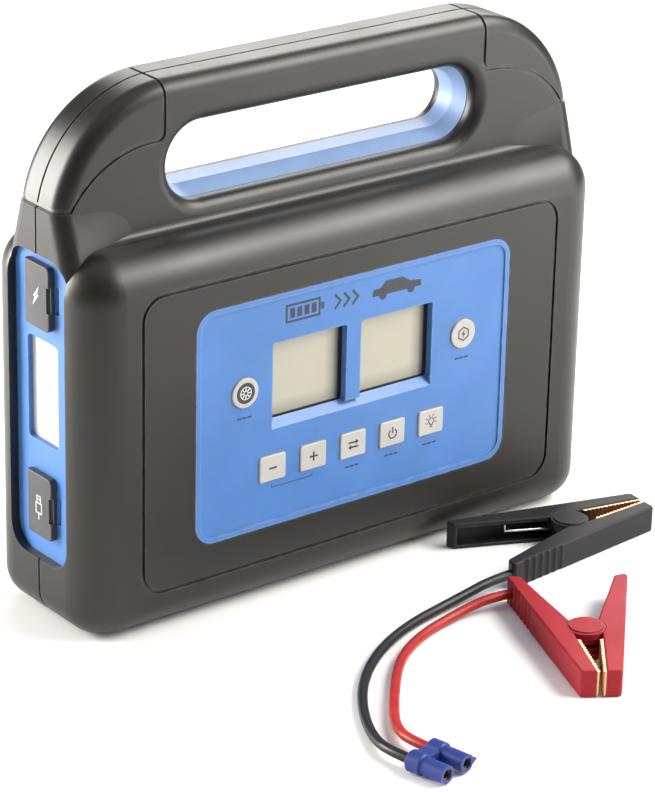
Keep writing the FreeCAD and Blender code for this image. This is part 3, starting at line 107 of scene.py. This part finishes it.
# ---------------------------------------------------------------- materials
class Graph:
    """A material's node tree, with short calls for the nodes used here."""

    def __init__(self, name):
        self.material = bpy.data.materials.new(name)
        self.material.use_nodes = True
        self.tree = self.material.node_tree
        self.shader = self.tree.nodes["Principled BSDF"]
        self.place = self.tree.nodes.new("ShaderNodeTexCoord").outputs["Object"]

    def set(self, **values):
        """Sets plain values on the shader's sockets, with _ for a space in a socket's name."""
        for key, value in values.items():
            socket = self.shader.inputs[key.replace("_", " ")]
            socket.default_value = (*value, 1) if isinstance(value, tuple) else value

    def link(self, output, socket):
        """Feeds an output into one of the shader's sockets."""
        self.tree.links.new(output, self.shader.inputs[socket])

    def noise(self, scale, detail=2.0, stretch=(1, 1, 1)):
        """Fractal noise, with its scale counted per metre."""
        mapping = self.tree.nodes.new("ShaderNodeMapping")
        mapping.inputs["Scale"].default_value = stretch
        self.tree.links.new(self.place, mapping.inputs["Vector"])
        node = self.tree.nodes.new("ShaderNodeTexNoise")
        node.inputs["Scale"].default_value = scale
        node.inputs["Detail"].default_value = detail
        self.tree.links.new(mapping.outputs["Vector"], node.inputs["Vector"])
        return node.outputs["Fac"]

    def cells(self, scale):
        """Rounded cells, as in a sparked mould's grain."""
        node = self.tree.nodes.new("ShaderNodeTexVoronoi")
        node.inputs["Scale"].default_value = scale
        self.tree.links.new(self.place, node.inputs["Vector"])
        return node.outputs["Distance"]

    def ramp(self, value, *stops):
        """A colour ramp; each stop is (position, colour)."""
        node = self.tree.nodes.new("ShaderNodeValToRGB")
        ramp = node.color_ramp
        while len(ramp.elements) < len(stops):
            ramp.elements.new(0.5)
        for element, (position, colour) in zip(ramp.elements, stops):
            element.position = position
            element.color = (*colour, 1)
        self.tree.links.new(value, node.inputs["Fac"])
        return node.outputs["Color"]

    def span(self, value, low, high, start=0.0, end=1.0):
        """Maps a value from start..end to low..high, clamped."""
        node = self.tree.nodes.new("ShaderNodeMapRange")
        for key, number in (("From Min", start), ("From Max", end), ("To Min", low), ("To Max", high)):
            node.inputs[key].default_value = number
        self.tree.links.new(value, node.inputs["Value"])
        return node.outputs["Result"]

    def math(self, operation, *values):
        """A math node over sockets and numbers."""
        node = self.tree.nodes.new("ShaderNodeMath")
        node.operation = operation
        for number, value in enumerate(values):
            if isinstance(value, (int, float)):
                node.inputs[number].default_value = value
            else:
                self.tree.links.new(value, node.inputs[number])
        return node.outputs["Value"]

    def mix(self, factor, first, second):
        """Mixes two colours, each a socket or a plain colour."""
        node = self.tree.nodes.new("ShaderNodeMix")
        node.data_type = "RGBA"
        sockets = (node.inputs["Factor"], node.inputs[6], node.inputs[7])
        for socket, value in zip(sockets, (factor, first, second)):
            if isinstance(value, tuple):
                socket.default_value = (*value, 1)
            elif isinstance(value, (int, float)):
                socket.default_value = value
            else:
                self.tree.links.new(value, socket)
        return node.outputs[2]

    def axis(self, letter):
        """One coordinate of the place on the object, in metres."""
        node = self.tree.nodes.new("ShaderNodeSeparateXYZ")
        self.tree.links.new(self.place, node.inputs["Vector"])
        return node.outputs[letter.upper()]

    def edges(self, radius=0.0012):
        """How sharply the surface turns: 0 on flats, 1 on sharp edges."""
        bevel = self.tree.nodes.new("ShaderNodeBevel")
        bevel.samples = 6
        bevel.inputs["Radius"].default_value = radius
        geometry = self.tree.nodes.new("ShaderNodeNewGeometry")
        dot = self.tree.nodes.new("ShaderNodeVectorMath")
        dot.operation = "DOT_PRODUCT"
        self.tree.links.new(bevel.outputs["Normal"], dot.inputs[0])
        self.tree.links.new(geometry.outputs["Normal"], dot.inputs[1])
        return self.span(dot.outputs["Value"], 1.0, 0.0, 0.86, 0.995)

    def bump(self, height, strength, distance):
        """Raises the surface by a height socket."""
        node = self.tree.nodes.new("ShaderNodeBump")
        node.inputs["Strength"].default_value = strength
        node.inputs["Distance"].default_value = distance
        self.tree.links.new(height, node.inputs["Height"])
        self.tree.links.new(node.outputs["Normal"], self.shader.inputs["Normal"])


def tint(colour, factor):
    """A lighter or darker version of a colour."""
    return tuple(min(1.0, channel * factor) for channel in colour)


def moulded_plastic(name, colour, roughness=0.42, grain=2600, rubbed_and_highlit_amount=0.12, bump=0.00003, gloss=0.5):
    """Satin moulded plastic: sparked grain, faint flow mottling, handling marks, and lightened edges, partly
    rubbed by use and partly a painted highlight.
    """
    graph = Graph(name)
    mottle = graph.noise(38, 4)
    base = graph.ramp(mottle, (0.3, tint(colour, 0.93)), (0.7, tint(colour, 1.07)))
    # Sharp edges are lightened in patches: partly rubbed by use, partly a painted highlight along seams and
    # rims.
    rubbed_and_highlit_mask = graph.math("MULTIPLY", graph.edges(), graph.span(graph.noise(210, 3), 0.2, 1.0, 0.38, 0.62))
    rubbed_and_highlit_colour = tuple(channel + rubbed_and_highlit_amount * (0.55 - channel) for channel in colour)
    graph.link(graph.mix(rubbed_and_highlit_mask, base, rubbed_and_highlit_colour), "Base Color")
    haze = graph.span(graph.noise(14, 5), roughness - 0.05, roughness + 0.07, 0.3, 0.7)
    graph.link(haze, "Roughness")
    graph.bump(graph.cells(grain), 0.5, bump)
    graph.set(Specular_IOR_Level=gloss)
    return graph.material


def soft_rubber(name, colour, roughness=0.62):
    """Matt rubber with a fine grain and dusty edges."""
    graph = Graph(name)
    base = graph.ramp(graph.noise(90, 4), (0.3, tint(colour, 0.85)), (0.7, tint(colour, 1.2)))
    dust = tuple(channel + 0.10 for channel in colour)
    graph.link(graph.mix(graph.math("MULTIPLY", graph.edges(), 0.5), base, dust), "Base Color")
    graph.link(graph.span(graph.noise(30, 4), roughness - 0.08, roughness + 0.1, 0.3, 0.7), "Roughness")
    graph.bump(graph.noise(4200, 2), 0.4, 0.00003)
    return graph.material


def metal(name, colour, roughness=0.28, stretch=(1, 1, 14)):
    """Drawn or stamped metal: fine lines along one axis and slight tarnish."""
    graph = Graph(name)
    tarnish = graph.noise(120, 4)
    graph.link(graph.ramp(tarnish, (0.35, tint(colour, 0.72)), (0.65, colour)), "Base Color")
    lines = graph.noise(900, 2, stretch)
    graph.link(graph.span(lines, roughness - 0.08, roughness + 0.14, 0.3, 0.7), "Roughness")
    graph.bump(lines, 0.25, 0.00002)
    graph.set(Metallic=1.0)
    return graph.material


def frosted(name, colour, roughness=0.4, glow=0.0):
    """Milky translucent plastic with a fine prismatic texture."""
    graph = Graph(name)
    graph.link(graph.ramp(graph.noise(60, 3), (0.3, tint(colour, 0.95)), (0.7, colour)), "Base Color")
    graph.link(graph.span(graph.noise(35, 3), roughness - 0.05, roughness + 0.08, 0.3, 0.7), "Roughness")
    graph.bump(graph.cells(700), 0.35, 0.0001)
    graph.set(Transmission_Weight=0.25, IOR=1.49, Emission_Color=(1.0, 0.99, 0.96), Emission_Strength=glow)
    return graph.material


WINDOWS = {"pressure": -24.4, "charge": 21.7}
WINDOW_HALF, WINDOW_LOW, WINDOW_HIGH = 19.3, 80.2, 115.2


def display_film(name, colour, middle):
    """A reflective display behind a film, shaded by its frame on the right and below."""
    graph = Graph(name)
    below = graph.span(graph.axis("z"), 0.55, 1.0, (WINDOW_LOW + 1.0) * MM, (WINDOW_LOW + 7.3) * MM)
    right = middle + WINDOW_HALF
    beside = graph.span(graph.axis("x"), 1.0, 0.42, (right - 8.8) * MM, (right - 1.5) * MM)
    speckle = graph.span(graph.noise(5200, 1), 0.94, 1.04, 0.35, 0.65)
    shade = graph.math("MULTIPLY", graph.math("MULTIPLY", below, beside), speckle)
    graph.link(graph.mix(shade, tint(colour, 0.12), colour), "Base Color")
    graph.link(graph.span(graph.noise(20, 3), 0.16, 0.26, 0.3, 0.7), "Roughness")
    graph.set(Coat_Weight=0.6, Coat_Roughness=0.08)
    return graph.material


def silicone(name, colour):
    """The soft sheath of a silicone cable."""
    graph = Graph(name)
    sheath = graph.ramp(graph.noise(160, 3), (0.3, tint(colour, 0.85)), (0.7, tint(colour, 1.1)))
    graph.link(sheath, "Base Color")
    graph.link(graph.span(graph.noise(70, 3), 0.3, 0.46, 0.3, 0.7), "Roughness")
    graph.bump(graph.noise(1500, 2), 0.3, 0.00005)
    graph.set(Subsurface_Weight=0.05, Subsurface_Scale=0.003, Specular_IOR_Level=0.32)
    return graph.material


def circuit_board(name):
    """Green solder mask with copper tracks beneath it."""
    graph = Graph(name)
    tracks = graph.cells(260)
    graph.link(graph.ramp(tracks, (0.18, (0.02, 0.16, 0.07)), (0.24, (0.03, 0.26, 0.11))), "Base Color")
    graph.link(graph.span(graph.noise(300, 2), 0.25, 0.4, 0.3, 0.7), "Roughness")
    graph.bump(tracks, 0.3, 0.00005)
    return graph.material


CASE = (0.010, 0.009, 0.0075)
BLUE = (0.065, 0.185, 0.47)
MATERIALS = {
    "case_plastic": moulded_plastic("case_plastic", CASE, 0.34, rubbed_and_highlit_amount=0.10, gloss=0.48),
    "blue_plastic": moulded_plastic("blue_plastic", BLUE, 0.36, rubbed_and_highlit_amount=0.25, gloss=0.4),
    "key_plastic": moulded_plastic("key_plastic", (0.44, 0.44, 0.42), 0.38, rubbed_and_highlit_amount=0.3),
    "circuit_board": circuit_board("circuit_board"),
    "switch_metal": metal("switch_metal", (0.6, 0.6, 0.6)),
    "cover_rubber": soft_rubber("cover_rubber", (0.045, 0.048, 0.052), 0.55),
    "lamp_plastic": frosted("lamp_plastic", (0.62, 0.63, 0.64), glow=0.05),
    "socket_plastic": moulded_plastic("socket_plastic", (0.03, 0.03, 0.032), 0.5),
    "contact_metal": metal("contact_metal", (0.75, 0.53, 0.22), 0.25),
    "socket_metal": metal("socket_metal", (0.62, 0.62, 0.63), 0.3),
    "cell_wrap": moulded_plastic("cell_wrap", (0.42, 0.44, 0.47), 0.35),
    "gear_plastic": moulded_plastic("gear_plastic", (0.75, 0.73, 0.65), 0.45),
    "pump_alloy": metal("pump_alloy", (0.66, 0.67, 0.69), 0.38, (1, 1, 1)),
    "pipe_rubber": soft_rubber("pipe_rubber", (0.18, 0.18, 0.18)),
    "black_clamp_plastic": moulded_plastic("black_clamp_plastic", (0.016, 0.016, 0.018), 0.46, rubbed_and_highlit_amount=0.10,
                                           gloss=0.25),
    "red_clamp_plastic": moulded_plastic("red_clamp_plastic", (0.37, 0.016, 0.027), 0.46, rubbed_and_highlit_amount=0.15,
                                         gloss=0.2),
    "jaw_copper": metal("jaw_copper", (0.80, 0.50, 0.30), 0.3),
    "clamp_steel": metal("clamp_steel", (0.72, 0.72, 0.72), 0.22),
    "plug_plastic": moulded_plastic("plug_plastic", (0.022, 0.040, 0.21), 0.42, rubbed_and_highlit_amount=0.12, gloss=0.3),
    "black_silicone": silicone("black_silicone", (0.012, 0.012, 0.013)),
    "red_silicone": silicone("red_silicone", (0.38, 0.020, 0.016)),
}


OWN_FINISH = {
    f"{display}_display": display_film(f"{display}_film", (0.40, 0.39, 0.31), middle)
    for display, middle in WINDOWS.items()
}
# The liner's blue is lighter than the panel's: partly its own tone and partly a painted reflection of the
# light on the hole's floor.
OWN_FINISH["handle_liner"] = moulded_plastic("liner_plastic", (0.22, 0.33, 0.54), 0.36, rubbed_and_highlit_amount=0.2)


def dress_nodes():
    """Gives each CAD node its own finish, or else the material of its slot."""
    for part in frame["record"]["subparts"]:
        item = nodes[part["node"]]
        item.data.materials.clear()
        item.data.materials.append(OWN_FINISH.get(part["node"]) or MATERIALS[part["material_slot"]])


# ---------------------------------------------------------------- clamp springs
CLAMPS = {"black": (95.5, -70.5, -5.0), "red": (31.0, -153.0, -122.5)}
CLAMP_MIDDLE = 6.0
WIRE, COIL, COIL_RISE, TURN_STEPS = 0.6, 3.4, 0.7, 28
LEG, HOOK, LEG_ANGLE = 27.0, 3.2, 158.0


def spring_part(name, colour, body, route):
    """A length of round spring wire, its route given in a clamp's own frame in mm."""
    x0, y0, turn = CLAMPS[colour]
    cosine, sine = math.cos(math.radians(turn)), math.sin(math.radians(turn))
    data = bpy.data.curves.new(name, "CURVE")
    data.dimensions = "3D"
    data.bevel_depth = WIRE * MM
    data.bevel_resolution = 4
    data.use_fill_caps = True
    spline = data.splines.new("POLY")
    spline.points.add(len(route) - 1)
    for point, (x, y, z) in zip(spline.points, route):
        point.co = ((x0 + x * cosine - y * sine) * MM, (y0 + x * sine + y * cosine) * MM, z * MM, 1)
    piece = add_piece(name, data, body, MATERIALS["clamp_steel"])
    return piece


def add_springs():
    """Each clamp's torsion spring: a coil with the arm's leg, and the leg that swings with the lever."""
    pieces = {}
    angle = math.radians(LEG_ANGLE)
    along = (math.cos(angle), math.sin(angle))
    for colour in CLAMPS:
        parts = []
        for side, body, turns in ((-1, "leads", 1.0), (1, f"{colour}_lever", 0.25)):
            level = CLAMP_MIDDLE + COIL_RISE / 2 * side
            tip = (LEG * along[0], side * (COIL + LEG * along[1]))
            route = [(*tip, level + HOOK * side), (*tip, level)]
            steps = round(TURN_STEPS * turns)
            for step in range(steps + 1):
                around = math.tau * turns * step / steps
                rise = -COIL_RISE * side * step / TURN_STEPS
                route.append((COIL * math.sin(around), side * COIL * math.cos(around), level + rise))
            name = f"{colour}_spring_" + ("coil" if side < 0 else "leg")
            parts.append(spring_part(name, colour, body, route))
        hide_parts(f"{colour}_clamp_spring")
        pieces[colour] = parts
    return pieces


# ---------------------------------------------------------------- cords
BLACK_ROUTE = [
    (46.2, -88.9, 6.0), (34.2, -89.1, 6.0), (20.0, -89.6, 3.9), (5.5, -91.0, 2.4), (-9.0, -94.0, 2.3),
    (-23.0, -98.7, 2.3), (-36.2, -105.0, 2.3), (-48.5, -112.9, 2.3), (-59.7, -122.2, 2.3),
    (-69.4, -132.7, 2.3), (-77.6, -144.0, 2.3), (-84.3, -155.5, 2.4), (-89.2, -166.6, 3.2),
    (-91.9, -177.4, 4.6), (-89.6, -188.2, 4.6)]
RED_ROUTE = [
    (35.3, -103.6, 6.0), (23.6, -101.0, 6.0), (11.6, -100.2, 3.8), (-0.8, -101.4, 2.4), (-13.0, -104.6, 2.3),
    (-24.7, -109.7, 2.3), (-35.5, -116.5, 2.3), (-45.2, -125.0, 2.3), (-54.0, -134.6, 2.3),
    (-62.4, -144.4, 2.3), (-70.2, -154.2, 2.4), (-76.6, -164.3, 3.2), (-80.2, -174.9, 4.6),
    (-77.9, -185.7, 4.6)]


CLAMP_NODES = ["arm", "lever", "arm_jaw", "lever_jaw", "pin"]


def add_cable(colour, route, springs):
    """One silicone cable from its clamp to the plug."""
    data = bpy.data.curves.new(f"{colour}_cable_sheath", "CURVE")
    data.dimensions = "3D"
    data.bevel_depth = 2.1 * MM
    data.bevel_resolution = 8
    spline = data.splines.new("NURBS")
    spline.points.add(len(route) - 1)
    for point, place in zip(spline.points, route):
        point.co = (*(value * MM for value in place), 1)
    spline.order_u = 3
    spline.use_endpoint_u = True
    spline.resolution_u = 16
    cable = bpy.data.objects.new(f"{colour}_cable_sheath", data)
    bpy.context.collection.objects.link(cable)
    data.materials.append(MATERIALS[f"{colour}_silicone"])
    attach(cable, "leads")
    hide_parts(f"{colour}_cable")
    along = [nodes["plug_housing"], nodes["plug_contacts"]] if colour == "black" else []
    along += springs + [nodes[f"{colour}_clamp_{name}"] for name in CLAMP_NODES]


# ---------------------------------------------------------------- printed pictograms
def stroke(points, width):
    """The outline of a straight-segmented line with square ends, one quadrilateral per segment."""
    shapes = []
    for (u0, v0), (u1, v1) in zip(points, points[1:]):
        length = math.hypot(u1 - u0, v1 - v0)
        du, dv = (u1 - u0) / length * width / 2, (v1 - v0) / length * width / 2
        shapes.append([(u0 - du - dv, v0 - dv + du), (u1 + du - dv, v1 + dv + du),
                       (u1 + du + dv, v1 + dv - du), (u0 - du + dv, v0 - dv - du)])
    return shapes


def arc(middle, radius, start, end, width, steps=28):
    """A curved band between two angles in degrees."""
    angles = [math.radians(start + (end - start) * step / steps) for step in range(steps + 1)]
    band = [(middle[0] + (radius + width / 2) * math.cos(a), middle[1] + (radius + width / 2) * math.sin(a))
            for a in angles]
    band += [(middle[0] + (radius - width / 2) * math.cos(a), middle[1] + (radius - width / 2) * math.sin(a))
             for a in reversed(angles)]
    return [band]


def disc(middle, radius, steps=32):
    """A filled circle."""
    return [[(middle[0] + radius * math.cos(math.tau * step / steps),
              middle[1] + radius * math.sin(math.tau * step / steps)) for step in range(steps)]]


def block(u0, v0, u1, v1):
    """A filled rectangle."""
    return [[(u0, v0), (u1, v0), (u1, v1), (u0, v1)]]


def outline(u0, v0, u1, v1, width):
    """A rectangle drawn as four strokes."""
    corners = [(u0, v0), (u1, v0), (u1, v1), (u0, v1), (u0, v0)]
    return stroke(corners, width)


def print_on(name, shapes, face, body, material, thick=0.06, side="front"):
    """Prints flat shapes, in mm, on the front (u is x) or on the port side (u runs towards the front)."""
    mesh = bmesh.new()
    for layer, shape in enumerate(shapes):
        lift = thick + 0.004 * layer
        rings = []
        for rise in (0.0, lift):
            if side == "front":
                places = [(u, face - rise, v) for u, v in shape]
            else:
                places = [(face - rise, -u, v) for u, v in shape]
            rings.append([mesh.verts.new((x * MM, y * MM, z * MM)) for x, y, z in places])
        mesh.faces.new(rings[1])
        for low, high, next_low, next_high in zip(rings[0], rings[1], rings[0][1:] + rings[0][:1],
                                                  rings[1][1:] + rings[1][:1]):
            mesh.faces.new((low, next_low, next_high, high))
    bmesh.ops.recalc_face_normals(mesh, faces=mesh.faces)
    data = bpy.data.meshes.new(name)
    mesh.to_mesh(data)
    mesh.free()
    return add_piece(name, data, body, material)


def add_piece(name, data, body, material):
    """Links a mesh as a piece that rides a body and wears a slot's material."""
    piece = bpy.data.objects.new(name, data)
    bpy.context.collection.objects.link(piece)
    data.materials.append(material)
    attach(piece, body)
    return piece


def printed_ink(name, colour):
    """Pad-printed ink, slightly rubbed."""
    graph = Graph(name)
    ink = graph.ramp(graph.noise(900, 3), (0.3, tint(colour, 0.85)), (0.75, tint(colour, 1.35)))
    graph.link(ink, "Base Color")
    graph.link(graph.span(graph.noise(200, 2), 0.4, 0.55, 0.3, 0.7), "Roughness")
    return graph.material


DARK_INK = printed_ink("dark_ink", (0.022, 0.028, 0.045))
PALE_INK = printed_ink("pale_ink", (0.62, 0.62, 0.60))
FACE = -37.0
KEY_FACE = -37.9
KEYS = {"key_minus": -43.4, "key_plus": -22.15, "key_mode": -0.9, "key_power": 20.35, "key_light": 41.6}
KEY_ROW = 59.8


def key_icons():
    """The pictogram on each square key."""
    row = KEY_ROW
    x = KEYS["key_minus"]
    icons = {"key_minus": stroke([(x - 1.6, row), (x + 1.6, row)], 0.8)}
    x = KEYS["key_plus"]
    icons["key_plus"] = stroke([(x - 1.7, row), (x + 1.7, row)], 0.8)
    icons["key_plus"] += stroke([(x, row - 1.7), (x, row + 1.7)], 0.8)
    x = KEYS["key_mode"]
    icons["key_mode"] = []
    for turn in (-1, 1):
        base = row + 1.1 * turn
        tip = x + 2.3 * turn
        icons["key_mode"] += stroke([(x - 2.3 * turn, base), (tip - 0.6 * turn, base)], 0.75)
        neck = tip - 1.1 * turn
        icons["key_mode"] += [[(tip + 0.5 * turn, base), (neck, base + 1.15), (neck, base - 1.15)]]
    x = KEYS["key_power"]
    icons["key_power"] = arc((x, row - 0.2), 2.1, 125, 415, 0.6)
    icons["key_power"] += stroke([(x, row + 0.2), (x, row + 2.5)], 0.6)
    x = KEYS["key_light"]
    icons["key_light"] = arc((x, row + 0.5), 1.35, -50, 230, 0.4)
    neck = [(x - 0.85, row - 0.5), (x - 0.5, row - 1.4), (x + 0.5, row - 1.4), (x + 0.85, row - 0.5)]
    icons["key_light"] += stroke(neck, 0.4)
    icons["key_light"] += stroke([(x - 0.5, row - 2.2), (x + 0.5, row - 2.2)], 0.4)
    for angle in range(-20, 201, 44):
        ray = (math.cos(math.radians(angle)), math.sin(math.radians(angle)))
        near, far = [(x + r * ray[0], row + 0.5 + r * ray[1]) for r in (2.1, 3.0)]
        icons["key_light"] += stroke([near, far], 0.36)
    for key, shapes in icons.items():
        print_on(f"{key}_icon", shapes, KEY_FACE, key, DARK_INK)


def round_key_icons():
    """A spoked tyre on the inflator key and a nut with a bolt of lightning on the start key."""
    x, z = -58.0, 96.8
    print_on("key_inflator_disc", disc((x, z), 4.6), KEY_FACE, "key_inflator", DARK_INK)
    spokes = arc((x, z), 2.75, 0, 360, 0.35)
    for number in range(8):
        angle = math.tau * number / 8
        near, far = [(x + r * math.cos(angle), z + r * math.sin(angle)) for r in (1.0, 2.4)]
        spokes += stroke([near, far], 0.5)
    print_on("key_inflator_icon", spokes, KEY_FACE - 0.064, "key_inflator", PALE_INK, 0.03)
    x = 58.0
    corners = [(x + 3.0 * math.cos(math.radians(60 * n + 30)), z + 3.0 * math.sin(math.radians(60 * n + 30)))
               for n in range(7)]
    bolt = [[(x + 0.5, z + 1.9), (x - 1.1, z - 0.3), (x - 0.1, z - 0.2)],
            [(x - 0.5, z - 1.9), (x + 1.1, z + 0.3), (x + 0.1, z + 0.2)]]
    print_on("key_engine_start_icon", stroke(corners, 0.55) + bolt, KEY_FACE, "key_engine_start", DARK_INK)


def panel_print():
    """Marks on the panel: a bracket under the set keys and a row of three dashes under each other key."""
    marks = []
    low = 50.6
    left, right = KEYS["key_minus"], KEYS["key_plus"]
    marks += stroke([(left, low + 1.4), (left, low), (right, low), (right, low + 1.4)], 0.3)
    for x, z in ((KEYS["key_mode"], 49.6), (KEYS["key_power"], 49.6), (KEYS["key_light"], 49.6),
                 (-58.0, 85.5), (58.0, 85.5)):
        for shift, half in ((-2.6, 1.0), (0.0, 1.0), (2.6, 1.0)):
            marks += block(x + shift - half, z - 0.35, x + shift + half, z + 0.35)
    print_on("panel_marks", marks, FACE, "case", DARK_INK, 0.04)


def charge_emblem():
    """A battery, three chevrons and a car seen from the side: a generic sign for jump starting."""
    z = 126.5
    battery = outline(-37.0, z - 3.6, -20.0, z + 3.6, 1.0) + block(-19.2, z - 1.5, -17.6, z + 1.5)
    for number in range(4):
        start = -35.2 + 3.7 * number
        battery += block(start, z - 2.1, start + 2.5, z + 2.1)
    arrows = []
    for number in range(3):
        x = -11.6 + 4.6 * number
        arrows += stroke([(x, z + 2.8), (x + 2.6, z), (x, z - 2.8)], 1.0)
    car = [[(8, z - 2.4), (34, z - 2.4), (34, z + 0.2), (29.5, z + 0.9), (8.5, z + 0.7)]]
    car += [[(12, z + 0.6), (28.5, z + 0.8), (24, z + 3.6), (15, z + 3.6)]]
    car += disc((13.6, z - 2.6), 1.9) + disc((28.6, z - 2.6), 1.9)
    print_on("charge_emblem", battery + arrows + car, FACE, "case", DARK_INK, 0.04)


def cover_icons():
    """A lightning bolt on the jump cover and a small connector on the USB cover."""
    face, u, z = -134.1, -0.9, 144.0
    bolt = [[(u + 2.1, z + 4.5), (u - 2.1, z - 0.6), (u + 0.4, z - 0.4)],
            [(u - 2.3, z - 4.5), (u + 1.9, z + 0.6), (u - 0.6, z + 0.4)]]
    print_on("jump_port_icon", bolt, face, "jump_port_cover", PALE_INK, 0.05, "port")
    z = 52.0
    plug = outline(u - 2.0, z - 3.4, u + 2.0, z + 1.0, 0.5)
    plug += outline(u - 1.3, z + 1.0, u + 1.3, z + 4.2, 0.45)
    plug += block(u - 0.8, z + 2.4, u - 0.3, z + 3.2) + block(u + 0.3, z + 2.4, u + 0.8, z + 3.2)
    plug += stroke([(u, z - 3.4), (u, z - 6.0)], 0.5)
    print_on("usb_port_icon", plug, face, "usb_port_cover", PALE_INK, 0.05, "port")


# ---------------------------------------------------------------- displays
def display_masks():
    """A black mask round each display, wider on the right and below, as a bezel's printed border."""
    ink = printed_ink("mask_ink", (0.012, 0.012, 0.014))
    low, high = WINDOW_LOW, WINDOW_HIGH
    for name, middle in WINDOWS.items():
        left, right = middle - WINDOW_HALF, middle + WINDOW_HALF
        shapes = block(left - 0.5, low, left + 0.35, high) + block(right - 1.6, low, right + 0.5, high)
        shapes += block(left, low, right, low + 1.0) + block(left, high - 0.4, right, high)
        print_on(f"{name}_display_mask", shapes, -32.9, "case", ink, 0.1)


add_camera()
add_floor()
add_lights()
dress_nodes()
springs = add_springs()
add_cable("black", BLACK_ROUTE, springs["black"])
add_cable("red", RED_ROUTE, springs["red"])
key_icons()
round_key_icons()
panel_print()
charge_emblem()
cover_icons()
display_masks()
bpy.context.scene.view_settings.view_transform = "Standard"
